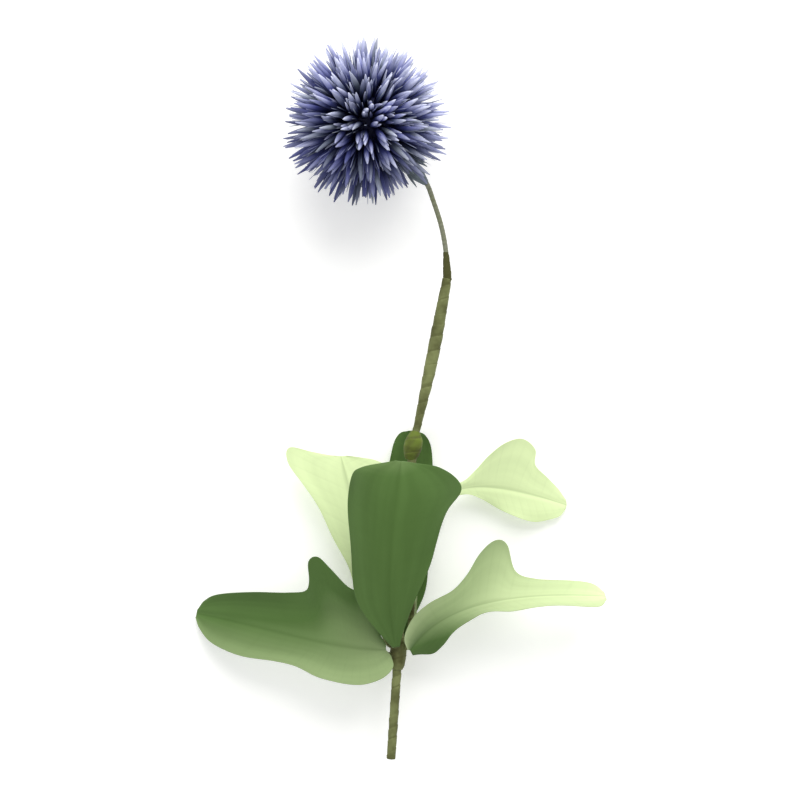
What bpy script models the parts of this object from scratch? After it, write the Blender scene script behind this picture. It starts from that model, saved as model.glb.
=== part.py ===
"""A globe thistle flower head, cut with its leafy stalk and lying on a surface.

The flower lies along Y, its head at +Y and the cut end of the stalk at -Y. +Z is up from the surface,
and the origin is on the surface under the middle of the flower. While it is modelled, places are counted
from the surface under the middle of the leaf whorl, and the whole flower is moved at the end.
"""

import math
import random

import bmesh
import bpy
from mathutils import Matrix, Vector

MM = 0.001
GAP = 0.3 * MM  # between pieces that meet
MERGE_DISTANCE = 0.01 * MM  # corners closer than this are one

# Flower head: needle-like florets in rows round a small core, threaded on the stem.
HEAD_RADIUS = 22.5 * MM  # to the tips of the longest florets
CORE_RADIUS = 9.0 * MM
HEAD_CENTRE = Vector((-8.4, 138.7, 22.6)) * MM
HEAD_TO_STEM = Vector((0.670, -0.659, -0.342)).normalized()
ROW_STEP = math.radians(9.5)  # polar angle from one row of florets to the next
CROWN_ROWS = 5  # the first is the single floret at the pole
RING_COUNT = 10
BASE_ROWS = 3
FLORET_SPACING = 3.7 * MM  # between neighbouring tips of one row
ROW_HALF_BAND = math.radians(3.9)  # half the polar angle that a floret's root covers, on crown and base
TIP_SHORTER = 2.2 * MM  # the most that a floret falls short of the head's radius
TIP_WANDER = math.radians(2.4)
SHOULDER_PLACE = 0.62  # where a floret starts to taper to its point, as a share of its length
SHOULDER_WIDTH = 0.64  # its width there, as a share of its root's width
POLE_FLORET_ROOT = 0.5 * MM
COLLAR_START = 8.9 * MM  # from the head's centre, along the stem
COLLAR_LENGTH = 14.6 * MM
COLLAR_SHAPE = (  # share of the collar's length, radius
    (0.00, 1.7 * MM),
    (0.25, 2.1 * MM),
    (0.55, 2.2 * MM),
    (0.80, 1.8 * MM),
    (1.00, 1.25 * MM),
)

# Stem parts: the thin stem of the head, then the taped stalk.
STEM_RADIUS = 0.7 * MM
STEM_BORE = STEM_RADIUS + GAP
STEM_TOP_DEPTH = 3.0 * MM  # how far the stem goes into the crown
STEM_INNER_STEPS = 3  # straight steps of the stem inside the head
STEM_COLLAR_SHARES = (0.8, 1.0)  # where the stem's route is fixed on its way out of the collar
STEM_STEPS = 4  # to a stretch of the thin stem's curve
STALK_STEPS = 6  # to a stretch of the stalk's curve
STEM_BEND = (  # the route from the collar to the stalk
    Vector((9.2, 118.6, 13.6)) * MM,
    Vector((11.3, 112.0, 12.9)) * MM,
)
SLEEVE_TOP = Vector((12.5, 105.4, 12.6)) * MM
STALK_TOP = Vector((12.9, 98.6, 12.5)) * MM
SLEEVE_RADII = (0.91 * MM, 1.15 * MM)  # at its top and its foot
NODE_CENTRE = Vector((3.9, 54.5, 11.9)) * MM
NODE_LENGTH = 8.0 * MM
NODE_RADIUS = 2.5 * MM
WHORL = Vector((0.0, 0.0, 11.5)) * MM
CUT_END = Vector((-1.9, -28.0, 10.6)) * MM
STALK_RADII = (1.0 * MM, 1.65 * MM, 1.3 * MM)  # of the upper stalk: at the node, in the middle, at its top
STALK_BOW = Vector((0.35, 0, 0)) * MM  # of the middle of the upper stalk
LOWER_RADIUS = 1.25 * MM
BINDING_RADIUS = 2.3 * MM
BINDING_HALF_LENGTH = 4.5 * MM
TUBE_SIDES = 10
BEAD_STEPS = 6  # from one end of a bead to the other
BEAD_END = 0.42  # the width of a bead's ends, as a share of its middle's

# Leaf stalks, from the binding to the blades.
PETIOLE_RADIUS = 0.75 * MM
PETIOLE_SHARE = 0.08  # where the stalk meets the blade, as a share of the midrib
PETIOLE_DROP = 1.4 * MM  # from there down to the stalk's foot, along the flower
PETIOLE_FOOT_LIMIT = 0.4  # how far from the binding's middle a foot may be, as a share of its half length
PETIOLE_LEAD = 1.2 * MM  # how far the stalk leans straight on from either end
PETIOLE_STEPS = 6

# Leaves
LEAF_THICKNESS = 0.7 * MM
RIB_STEPS = 2  # stations of the mesh from one rib to the next
LEAF_STRIPS = 6  # across the blade


class Leaf:
    """One leaf of the whorl. spine is the curve of its midrib, from the root, and faces is the way that its
    upper side looks, at points evenly spread from root to tip. Across, the blade is an arc of cup_radius
    that bends towards that side, up to full_bend degrees, and runs on straight. Each rib is a row: its share
    along the midrib, then where it ends on the left and on the right of the blade, seen from above with the
    tip ahead, each as (share along, reach in mm)."""

    def __init__(self, spine, faces, cup_radius, full_bend, ribs):
        self.spine = [Vector(point) * MM for point in spine]
        self.faces = [Vector(way).normalized() for way in faces]
        self.cup_radius = cup_radius * MM
        self.full_bend = math.radians(full_bend)
        self.ribs = [Vector((middle, *left, *right)) for middle, left, right in ribs]


LEAVES = {
    "front": Leaf(
        spine=((-0.6, 1.8, 16.4), (-4.0, 16, 22.5), (-1.5, 34, 28.0), (0.8, 50.6, 25.0)),
        faces=((0, -0.45, 0.9), (0.1, 0.15, 1)),
        cup_radius=17,
        full_bend=52,
        ribs=(
            (0.0, (0.0, 1.0), (0.0, 1.0)),
            (0.08, (0.11, 3.8), (0.12, 3.4)),
            (0.2, (0.28, 8.6), (0.27, 6.6)),
            (0.34, (0.45, 10.6), (0.45, 10.2)),
            (0.5, (0.62, 12.4), (0.62, 12.4)),
            (0.66, (0.79, 14.2), (0.78, 15.0)),
            (0.8, (0.885, 14.6), (0.9, 18.6)),
            (0.92, (0.935, 10.6), (0.985, 11.0)),
            (1.0, (0.998, 1.5), (1.003, 1.5)),
        ),
    ),
    "left": Leaf(
        spine=((-3.2, 1.0, 13.7), (-18, 1, 15.7), (-36, 7.5, 10.5), (-53.4, 10, 1.6)),
        faces=((0.1, 0.1, 1), (-0.1, 0.05, 1)),
        cup_radius=16,
        full_bend=36,
        ribs=(
            (0.0, (-0.03, 1.6), (0.0, 1.4)),
            (0.03, (-0.035, 4.6), (0.05, 5.2)),
            (0.07, (0.01, 7.4), (0.1, 10.6)),
            (0.11, (0.08, 9.2), (0.16, 15.6)),
            (0.16, (0.15, 10.3), (0.26, 17.4)),
            (0.21, (0.22, 10.7), (0.36, 21.5)),
            (0.25, (0.28, 10.4), (0.43, 24.4)),
            (0.29, (0.34, 9.6), (0.47, 22.6)),
            (0.335, (0.4, 8.6), (0.46, 16.6)),
            (0.385, (0.46, 8.1), (0.48, 13.0)),
            (0.48, (0.56, 8.2), (0.57, 11.2)),
            (0.64, (0.72, 8.8), (0.73, 9.2)),
            (0.82, (0.88, 7.1), (0.9, 6.2)),
            (0.935, (0.96, 4.2), (0.97, 3.6)),
            (1.0, (0.998, 1.2), (0.998, 1.2)),
        ),
    ),
    "right": Leaf(
        spine=((3.2, 0.8, 13.7), (10, 12, 17.0), (27, 17, 20.0), (54.4, 15, 13.0)),
        faces=((0.35, -0.5, 0.8), (0.0, 0.7, 0.7), (-0.05, 0.8, 0.6)),
        cup_radius=17,
        full_bend=60,
        ribs=(
            (0.0, (0.0, 1.1), (-0.03, 1.6)),
            (0.07, (0.06, 4.2), (0.05, 5.6)),
            (0.16, (0.16, 5.4), (0.2, 5.6)),
            (0.26, (0.27, 5.6), (0.32, 4.4)),
            (0.34, (0.39, 6.0), (0.4, 3.8)),
            (0.41, (0.475, 9.0), (0.47, 3.8)),
            (0.47, (0.56, 14.2), (0.54, 4.0)),
            (0.53, (0.63, 17.0), (0.6, 4.6)),
            (0.58, (0.67, 15.4), (0.65, 5.0)),
            (0.64, (0.69, 8.2), (0.72, 5.4)),
            (0.74, (0.77, 5.8), (0.82, 5.6)),
            (0.86, (0.9, 5.0), (0.91, 5.6)),
            (0.95, (0.965, 4.0), (0.97, 4.8)),
            (1.0, (0.998, 1.8), (0.998, 1.8)),
        ),
    ),
    "back_left": Leaf(
        spine=((-4.6, 6.6, 8.0), (-8, 20, 8.6), (-11, 36, 8.4), (-15, 51.2, 6.0)),
        faces=((0.1, 0, 1), (0.05, 0.15, 1)),
        cup_radius=45,
        full_bend=20,
        ribs=(
            (0.0, (0.0, 1.0), (0.0, 1.0)),
            (0.1, (0.12, 2.6), (0.12, 3.0)),
            (0.22, (0.25, 4.2), (0.25, 4.6)),
            (0.34, (0.4, 4.8), (0.4, 6.0)),
            (0.46, (0.57, 7.0), (0.55, 7.6)),
            (0.58, (0.75, 9.0), (0.68, 9.4)),
            (0.7, (0.91, 12.0), (0.79, 11.0)),
            (0.81, (1.04, 14.2), (0.88, 11.4)),
            (0.89, (1.12, 13.0), (0.94, 8.6)),
            (0.96, (1.07, 7.2), (0.975, 5.0)),
            (1.01, (1.02, 1.5), (1.003, 1.5)),
        ),
    ),
    "back_right": Leaf(
        spine=((4.0, 7.2, 8.2), (3, 40, 9.5), (9, 51, 8.5), (44.6, 38.6, 1.4)),
        faces=((-0.1, 0, 1), (0.05, 0.15, 1)),
        cup_radius=40,
        full_bend=20,
        ribs=(
            (0.0, (0.0, 0.9), (0.0, 0.9)),
            (0.18, (0.18, 1.3), (0.18, 1.3)),
            (0.38, (0.38, 1.5), (0.38, 1.5)),
            (0.56, (0.56, 1.5), (0.56, 1.4)),
            (0.65, (0.66, 2.0), (0.66, 1.7)),
            (0.7, (0.715, 4.6), (0.72, 3.0)),
            (0.74, (0.755, 8.2), (0.77, 4.4)),
            (0.78, (0.8, 12.0), (0.815, 5.8)),
            (0.82, (0.845, 13.8), (0.86, 6.8)),
            (0.86, (0.885, 11.8), (0.9, 7.2)),
            (0.895, (0.895, 7.8), (0.935, 6.8)),
            (0.93, (0.935, 5.4), (0.965, 5.4)),
            (0.96, (0.97, 3.4), (0.99, 3.6)),
            (1.0, (0.995, 1.3), (1.0, 1.2)),
        ),
    ),
    "back": Leaf(
        spine=((0.3, 3.0, 5.8), (1.5, 20, 1.4), (2.5, 40, 1.4), (3.8, 58.3, 4.2)),
        faces=((0, 0.2, 1), (0, -0.1, 1)),
        cup_radius=50,
        full_bend=20,
        ribs=(
            (0.0, (0.0, 1.0), (0.0, 1.0)),
            (0.1, (0.12, 3.2), (0.12, 3.4)),
            (0.22, (0.27, 7.6), (0.25, 6.0)),
            (0.34, (0.4, 8.4), (0.38, 6.4)),
            (0.45, (0.5, 6.2), (0.48, 5.6)),
            (0.56, (0.64, 8.6), (0.62, 8.8)),
            (0.68, (0.76, 6.2), (0.75, 6.4)),
            (0.8, (0.86, 5.5), (0.86, 5.8)),
            (0.89, (0.94, 4.7), (0.94, 5.0)),
            (0.95, (0.985, 3.2), (0.985, 3.4)),
            (1.0, (0.999, 1.2), (0.999, 1.2)),
        ),
    ),
}


def clear_scene():
    for obj in list(bpy.data.objects):
        bpy.data.objects.remove(obj)


def make_material(name, colour, roughness):
    """A plain finish: colour, roughness, no metal."""
    material = bpy.data.materials.new(name)
    material.use_nodes = True
    shader = material.node_tree.nodes["Principled BSDF"]
    shader.inputs["Base Color"].default_value = (*colour, 1)
    shader.inputs["Roughness"].default_value = roughness
    shader.inputs["Metallic"].default_value = 0
    return material


def add_object(name, data, material, parent=None):
    """An object in the scene with its material, placed by its parent if it has one."""
    obj = bpy.data.objects.new(name, data)
    obj.data.materials.append(material)
    obj.parent = parent
    bpy.context.collection.objects.link(obj)
    return obj


def mesh_from(bm, name):
    """The finished mesh of bm."""
    mesh = bpy.data.meshes.new(name)
    bm.to_mesh(mesh)
    bm.free()
    return mesh


# ---- Flower head -----------------------------------------------------------------------------------------


def loop_at(bm, radius, height, count, turn=0.0):
    """A level loop of count points round the Z axis. turn is the share of one step that it starts at."""
    angles = [2 * math.pi * (i + turn) / count for i in range(count)]
    return [bm.verts.new((radius * math.cos(a), radius * math.sin(a), height)) for a in angles]


def stitch(bm, upper, lower):
    """Triangles between two loops that may have different counts, going round both at the same pace."""
    i = j = 0
    while i < len(upper) or j < len(lower):
        start_upper, start_lower = upper[i % len(upper)], lower[j % len(lower)]
        if j == len(lower) or (i < len(upper) and (i + 1) / len(upper) <= (j + 1) / len(lower)):
            i += 1
            bm.faces.new((upper[i % len(upper)], start_upper, start_lower))
        else:
            j += 1
            bm.faces.new((start_upper, start_lower, lower[j % len(lower)]))


def row_count(polar):
    """How many florets the row at this polar angle holds."""
    return round(2 * math.pi * math.sin(polar) * HEAD_RADIUS / FLORET_SPACING)


def floret_tip(rng, polar, turn):
    """The point of a floret that stands near this polar angle and turn round the head."""
    tilt = polar + rng.uniform(-TIP_WANDER, TIP_WANDER)
    turn += rng.uniform(-TIP_WANDER, TIP_WANDER) / math.sin(polar)
    reach = HEAD_RADIUS - TIP_SHORTER * rng.random() ** 2
    flat = reach * math.sin(tilt)
    return Vector((flat * math.cos(turn), flat * math.sin(turn), reach * math.cos(tilt)))


def add_row(bm, rng, polar, upper, lower):
    """A band of faces between two loops, where each face grows out into a floret with a pointed end."""
    roots = []
    for i in range(len(upper)):
        k = (i + 1) % len(upper)
        roots.append(bm.faces.new((upper[k], upper[i], lower[i], lower[k])))
    shoulders = bmesh.ops.extrude_discrete_faces(bm, faces=roots)["faces"]
    for shoulder in shoulders:
        root = shoulder.calc_center_median()
        tip = floret_tip(rng, polar, math.atan2(root.y, root.x))
        place = root.lerp(tip, SHOULDER_PLACE)
        for corner in shoulder.verts:
            corner.co = place + (corner.co - root) * SHOULDER_WIDTH
        bmesh.ops.poke(bm, faces=[shoulder])["verts"][0].co = tip


def dome_rows(bm, rng, polars, above):
    """Rows of florets on the ball of the core, stitched to each other and to the loop above."""
    for polar in polars:
        high, low = polar - ROW_HALF_BAND, polar + ROW_HALF_BAND
        count = row_count(polar)
        upper = loop_at(bm, CORE_RADIUS * math.sin(high), CORE_RADIUS * math.cos(high), count)
        lower = loop_at(bm, CORE_RADIUS * math.sin(low), CORE_RADIUS * math.cos(low), count)
        stitch(bm, above, upper)
        add_row(bm, rng, polar, upper, lower)
        above = lower
    return above


def make_crown(rng):
    """The top of the head: a dome with the pole floret and the rows round it, and a blind bore for the
    stem."""
    bm = bmesh.new()
    pole = loop_at(bm, POLE_FLORET_ROOT, CORE_RADIUS, 6)
    tip = bmesh.ops.poke(bm, faces=[bm.faces.new(pole)])["verts"][0]
    tip.co.z = HEAD_RADIUS
    last = dome_rows(bm, rng, [i * ROW_STEP for i in range(1, CROWN_ROWS)], pole)
    floor = CORE_RADIUS * math.cos((CROWN_ROWS - 0.5) * ROW_STEP) + GAP / 2
    edge = CORE_RADIUS * math.sin((CROWN_ROWS - 0.5) * ROW_STEP)
    rim = loop_at(bm, edge, floor, len(last))
    mouth = loop_at(bm, STEM_BORE, floor, TUBE_SIDES)
    end = loop_at(bm, STEM_BORE, floor + STEM_TOP_DEPTH, TUBE_SIDES)
    stitch(bm, last, rim)
    stitch(bm, rim, mouth)
    stitch(bm, mouth, end)
    bm.faces.new(reversed(end))
    return mesh_from(bm, "floret_crown")


def make_ring(rng, index):
    """One moulded ring: a thin bored disc with a row of florets on its rim."""
    row = CROWN_ROWS + index
    top = CORE_RADIUS * math.cos((row - 0.5) * ROW_STEP) - GAP / 2
    bottom = CORE_RADIUS * math.cos((row + 0.5) * ROW_STEP) + GAP / 2
    polar = row * ROW_STEP
    count = row_count(polar)
    turn = index % 2 / 2  # florets of one ring stand between those of the next
    bm = bmesh.new()
    upper = loop_at(bm, CORE_RADIUS * math.sin(polar), top, count, turn)
    lower = loop_at(bm, CORE_RADIUS * math.sin(polar), bottom, count, turn)
    bore_top = loop_at(bm, STEM_BORE, top, TUBE_SIDES)
    bore_bottom = loop_at(bm, STEM_BORE, bottom, TUBE_SIDES)
    stitch(bm, bore_top, upper)
    add_row(bm, rng, polar, upper, lower)
    stitch(bm, lower, bore_bottom)
    stitch(bm, bore_bottom, bore_top)
    return mesh_from(bm, "floret_ring")


def make_base(rng):
    """The rows of florets nearest the stem, on a bored dome."""
    first = CROWN_ROWS + RING_COUNT
    top = CORE_RADIUS * math.cos((first - 0.5) * ROW_STEP) - GAP / 2
    edge = CORE_RADIUS * math.sin((first - 0.5) * ROW_STEP)
    bm = bmesh.new()
    bore_top = loop_at(bm, STEM_BORE, top, TUBE_SIDES)
    rim = loop_at(bm, edge, top, row_count(first * ROW_STEP))
    stitch(bm, bore_top, rim)
    last = dome_rows(bm, rng, [(first + i) * ROW_STEP for i in range(BASE_ROWS)], rim)
    bore_bottom = loop_at(bm, STEM_BORE, last[0].co.z, TUBE_SIDES)
    stitch(bm, last, bore_bottom)
    stitch(bm, bore_bottom, bore_top)
    return mesh_from(bm, "floret_base")


def make_collar():
    """The calyx collar: a turned sleeve round the stem, from the core to just outside the head."""
    bm = bmesh.new()
    outside = [(radius, -COLLAR_START - share * COLLAR_LENGTH) for share, radius in COLLAR_SHAPE]
    inside = [(STEM_BORE, outside[-1][1]), (STEM_BORE, outside[0][1])]
    corners = [bm.verts.new((radius, 0, height)) for radius, height in outside + inside]
    profile = [bm.edges.new((corners[i - 1], corners[i])) for i in range(len(corners))]
    bmesh.ops.spin(
        bm,
        geom=corners + profile,
        axis=(0, 0, 1),
        angle=2 * math.pi,
        steps=2 * TUBE_SIDES,
        use_merge=True,
    )
    bmesh.ops.remove_doubles(bm, verts=bm.verts, dist=MERGE_DISTANCE)
    bmesh.ops.recalc_face_normals(bm, faces=bm.faces)
    return mesh_from(bm, "calyx_collar")


def add_head(floret, collar):
    """Every piece of the head, parented to an empty at its centre whose Z axis points away from the
    stem."""
    rng = random.Random(31)
    centre = bpy.data.objects.new("head_centre", None)
    bpy.context.collection.objects.link(centre)
    centre.rotation_mode = "QUATERNION"
    centre.rotation_quaternion = (-HEAD_TO_STEM).to_track_quat("Z", "Y")
    centre.location = HEAD_CENTRE
    add_object("floret_crown", make_crown(rng), floret, centre)
    for index in range(RING_COUNT):
        add_object(f"floret_ring_{index + 1:02d}", make_ring(rng, index), floret, centre)
    add_object("floret_base", make_base(rng), floret, centre)
    add_object("calyx_collar", make_collar(), collar, centre)


# ---- Stem and stalk --------------------------------------------------------------------------------------


def smooth_route(points, steps):
    """Points on a smooth curve through these (Catmull-Rom), steps to a stretch."""
    ends = [2 * points[0] - points[1], *points, 2 * points[-1] - points[-2]]
    route = []
    for a, b, c, d in zip(ends, ends[1:], ends[2:], ends[3:]):
        for i in range(steps):
            t = i / steps
            bend = (2 * a - 5 * b + 4 * c - d) * t**2 + (3 * (b - c) + d - a) * t**3
            route.append((2 * b + (c - a) * t + bend) / 2)
    route.append(points[-1])
    return route


def add_tube(name, route, radii, material):
    """A round tube along route, with the given radii spread evenly over it and its ends closed."""
    curve = bpy.data.curves.new(name, "CURVE")
    curve.dimensions = "3D"
    curve.bevel_depth = 1.0
    curve.bevel_resolution = TUBE_SIDES // 2 - 2
    curve.use_fill_caps = True
    spline = curve.splines.new("POLY")
    spline.points.add(len(route) - 1)
    for i, (point, place) in enumerate(zip(spline.points, route)):
        share = i / (len(route) - 1) * (len(radii) - 1)
        k = min(int(share), len(radii) - 2)
        point.co = (*place, 1)
        point.radius = radii[k] + (radii[k + 1] - radii[k]) * (share - k)
    return add_object(name, curve, material)


def add_bead(name, centre, way, length, radius, bore, material):
    """A turned bead with rounded shoulders along way, bored right through if bore isn't 0."""
    bm = bmesh.new()
    outside = []
    for i in range(BEAD_STEPS + 1):
        angle = math.pi * i / BEAD_STEPS
        swell = BEAD_END + (1 - BEAD_END) * math.sin(angle)
        outside.append((bore + (radius - bore) * swell, length / 2 * -math.cos(angle)))
    inside = [(bore, length / 2), (bore, -length / 2)]
    corners = [bm.verts.new((r, 0, z)) for r, z in outside + inside]
    profile = [bm.edges.new((corners[i - 1], corners[i])) for i in range(len(corners))]
    if not bore:
        bm.edges.remove(profile[-1])
        profile.pop()
    bmesh.ops.spin(
        bm, geom=corners + profile, axis=(0, 0, 1), angle=2 * math.pi, steps=2 * TUBE_SIDES, use_merge=True
    )
    bmesh.ops.remove_doubles(bm, verts=bm.verts, dist=MERGE_DISTANCE)
    bmesh.ops.recalc_face_normals(bm, faces=bm.faces)
    obj = add_object(name, mesh_from(bm, name), material)
    obj.location = centre
    obj.rotation_mode = "QUATERNION"
    obj.rotation_quaternion = way.to_track_quat("Z", "Y")
    return obj


def add_stem(stem, tape, node):
    """The thin stem through the head, its taped sleeve, and the stalk down to the cut end."""
    inner_end = HEAD_CENTRE - HEAD_TO_STEM * (
        CORE_RADIUS * math.cos((CROWN_ROWS - 0.5) * ROW_STEP) + STEM_TOP_DEPTH - GAP
    )
    collar_start = HEAD_CENTRE + HEAD_TO_STEM * COLLAR_START
    shares = [i / STEM_INNER_STEPS for i in range(STEM_INNER_STEPS + 1)]
    straight = [inner_end.lerp(collar_start, share) for share in shares]
    collar_end = HEAD_TO_STEM * (COLLAR_START + COLLAR_LENGTH)
    outside = [HEAD_CENTRE + collar_end * share for share in STEM_COLLAR_SHARES]
    end = SLEEVE_TOP + (SLEEVE_TOP - STALK_TOP).normalized() * GAP
    route = smooth_route([*straight, *outside, *STEM_BEND, end], STEM_STEPS)
    add_tube("head_stem", route, (STEM_RADIUS,) * 2, stem)
    add_tube("stem_sleeve", [SLEEVE_TOP, STALK_TOP], SLEEVE_RADII, tape)

    to_node = (NODE_CENTRE - STALK_TOP).normalized()
    above = NODE_CENTRE - to_node * (NODE_LENGTH / 2 + GAP)
    below_way = (WHORL - NODE_CENTRE).normalized()
    below = NODE_CENTRE + below_way * (NODE_LENGTH / 2 + GAP)
    top = STALK_TOP + to_node * GAP
    bow = (above + top) / 2 + STALK_BOW
    add_tube("stalk_upper", smooth_route([above, bow, top], STALK_STEPS), STALK_RADII, tape)
    add_bead("stalk_node", NODE_CENTRE, to_node, NODE_LENGTH, NODE_RADIUS, 0, node)
    route = smooth_route([below, WHORL, CUT_END], STALK_STEPS)
    add_tube("stalk_lower", route, (LOWER_RADIUS,) * 2, tape)
    add_bead(
        "leaf_binding",
        WHORL,
        (NODE_CENTRE - CUT_END).normalized(),
        2 * BINDING_HALF_LENGTH,
        BINDING_RADIUS,
        LOWER_RADIUS + GAP,
        tape,
    )


# ---- Leaves ----------------------------------------------------------------------------------------------


def on_curve(points, t):
    """Place and direction at t on the cubic curve with these four control points. Past its end the curve
    runs on straight."""
    a, b, c, d = points
    s = min(t, 1.0)
    u = 1 - s
    place = a * u**3 + b * (3 * s * u * u) + c * (3 * s * s * u) + d * s**3
    way = (b - a) * (3 * u * u) + (c - b) * (6 * s * u) + (d - c) * (3 * s * s)
    return place + way * (t - s), way.normalized()


def facing(leaf, along):
    """The way that the blade's upper side looks at this share along it."""
    place = min(along, 1.0) * (len(leaf.faces) - 1)
    k = min(int(place), len(leaf.faces) - 2)
    return leaf.faces[k].lerp(leaf.faces[k + 1], place - k)


def leaf_point(leaf, along, reach):
    """The point at this share along the midrib and this reach to its right."""
    place, way = on_curve(leaf.spine, along)
    out = way.cross(facing(leaf, along)).normalized()
    face = out.cross(way)
    bend = min(abs(reach) / leaf.cup_radius, leaf.full_bend)
    straight = abs(reach) - bend * leaf.cup_radius
    sideways = math.sin(bend) * leaf.cup_radius + straight * math.cos(bend)
    rise = (1 - math.cos(bend)) * leaf.cup_radius + straight * math.sin(bend)
    return place + out * math.copysign(sideways, reach) + face * rise


def add_leaf(name, leaf, material):
    """The blade as rows of points along its ribs, thickened to a sheet."""
    bm = bmesh.new()
    rows = []
    for middle, left, left_reach, right, right_reach in smooth_route(leaf.ribs, RIB_STEPS):
        row = []
        for k in range(LEAF_STRIPS + 1):
            across = 2 * k / LEAF_STRIPS - 1
            end, reach = (left, left_reach) if across < 0 else (right, right_reach)
            along = middle + (end - middle) * abs(across)
            row.append(bm.verts.new(leaf_point(leaf, along, reach * MM * across)))
        rows.append(row)
    for near, far in zip(rows, rows[1:]):
        for k in range(LEAF_STRIPS):
            bm.faces.new((near[k], near[k + 1], far[k + 1], far[k]))
    obj = add_object(name, mesh_from(bm, name), material)
    sheet = obj.modifiers.new("thickness", "SOLIDIFY")
    sheet.thickness = LEAF_THICKNESS
    sheet.offset = 0
    return obj


def add_petiole(name, leaf, material):
    """The short leaf stalk, from the binding to the side of the blade that is nearer to the stalk."""
    place, way = on_curve(leaf.spine, PETIOLE_SHARE)
    stalk_way = (NODE_CENTRE - CUT_END).normalized()
    height = (place - WHORL).dot(stalk_way)
    face = way.cross(facing(leaf, PETIOLE_SHARE)).cross(way).normalized()
    if face.dot(place - WHORL - stalk_way * height) > 0:
        face = -face
    end = place + face * (LEAF_THICKNESS / 2 + PETIOLE_RADIUS + GAP)
    limit = PETIOLE_FOOT_LIMIT * BINDING_HALF_LENGTH
    centre = WHORL + stalk_way * max(min(height - PETIOLE_DROP, limit), -limit)
    outward = end - WHORL - stalk_way * (end - WHORL).dot(stalk_way)
    outward.normalize()
    start = centre + outward * (BINDING_RADIUS + 2 * GAP)
    curve = (start, start + outward * PETIOLE_LEAD, end - way * PETIOLE_LEAD, end)
    route = [on_curve(curve, i / PETIOLE_STEPS)[0] for i in range(PETIOLE_STEPS + 1)]
    add_tube(name, route, (PETIOLE_RADIUS,) * 2, material)


def rest_on_origin():
    """Moves the flower so that its lowest point is at height 0 and the middle of its base at the origin."""
    bpy.context.view_layer.update()
    graph = bpy.context.evaluated_depsgraph_get()
    corners = []
    for obj in bpy.context.scene.objects:
        if obj.type != "EMPTY":
            shape = obj.evaluated_get(graph)
            mesh = shape.to_mesh()
            corners += [shape.matrix_world @ vertex.co for vertex in mesh.vertices]
            shape.to_mesh_clear()
    low = Vector(min(corner[axis] for corner in corners) for axis in range(3))
    high = Vector(max(corner[axis] for corner in corners) for axis in range(3))
    move = Matrix.Translation(Vector((-(low.x + high.x) / 2, -(low.y + high.y) / 2, -low.z)))
    for obj in bpy.context.scene.objects:
        if obj.parent is None:
            obj.matrix_world = move @ obj.matrix_world


def main():
    clear_scene()
    floret = make_material("floret", (0.10, 0.11, 0.36), 0.7)
    collar = make_material("collar", (0.05, 0.07, 0.12), 0.7)
    stem = make_material("stem", (0.16, 0.18, 0.13), 0.6)
    tape = make_material("tape", (0.16, 0.17, 0.05), 0.75)
    node = make_material("node", (0.13, 0.18, 0.02), 0.7)
    blade = make_material("blade", (0.11, 0.20, 0.05), 0.8)
    add_head(floret, collar)
    add_stem(stem, tape, node)
    for name, leaf in LEAVES.items():
        add_leaf(f"leaf_{name}", leaf, blade)
        add_petiole(f"petiole_{name}", leaf, tape)
    rest_on_origin()


main()
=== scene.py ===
"""The looks of a globe thistle flower lying on a surface: its florets, collar, stems, tape and leaves.

Every place is counted from the middle of the leaf binding, with +Y along the flower towards its head and
+Z up from the surface. Lengths in the tables are in millimetres.
"""

import bpy
import numpy as np
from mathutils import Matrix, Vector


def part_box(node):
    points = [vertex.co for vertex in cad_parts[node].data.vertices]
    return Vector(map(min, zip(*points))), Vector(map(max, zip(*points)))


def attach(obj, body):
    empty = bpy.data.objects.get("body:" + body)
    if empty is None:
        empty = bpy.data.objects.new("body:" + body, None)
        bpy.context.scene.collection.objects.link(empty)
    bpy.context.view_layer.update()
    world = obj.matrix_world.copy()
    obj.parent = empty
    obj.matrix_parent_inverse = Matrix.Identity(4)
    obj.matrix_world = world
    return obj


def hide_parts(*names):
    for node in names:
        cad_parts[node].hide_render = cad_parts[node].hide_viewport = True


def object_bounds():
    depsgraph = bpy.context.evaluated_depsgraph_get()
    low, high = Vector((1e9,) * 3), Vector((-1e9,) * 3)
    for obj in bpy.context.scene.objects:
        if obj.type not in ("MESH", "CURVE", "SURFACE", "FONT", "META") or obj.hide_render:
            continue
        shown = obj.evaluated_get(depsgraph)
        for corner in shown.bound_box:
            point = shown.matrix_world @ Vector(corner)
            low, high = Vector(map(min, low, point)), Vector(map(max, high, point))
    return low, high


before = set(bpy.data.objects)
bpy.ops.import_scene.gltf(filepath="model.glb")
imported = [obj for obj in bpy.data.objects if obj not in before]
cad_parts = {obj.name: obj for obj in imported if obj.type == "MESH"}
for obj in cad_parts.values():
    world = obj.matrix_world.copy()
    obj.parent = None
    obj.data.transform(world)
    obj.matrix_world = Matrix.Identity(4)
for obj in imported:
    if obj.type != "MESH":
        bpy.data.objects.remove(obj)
CAD_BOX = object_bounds()

bl_info = {
    "name": "Globe Thistle Flower",
    "version": (1, 0, 0),
    "blender": (4, 5, 0),
    "location": "View3D > Sidebar > Thistle",
    "description": "Builds the surfaces and finishes of a globe thistle flower around its frame",
    "category": "Add Mesh",
}

MM = 0.001
BINDING = np.mean(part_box("leaf_binding"), axis=0)  # where every place is counted from

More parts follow.
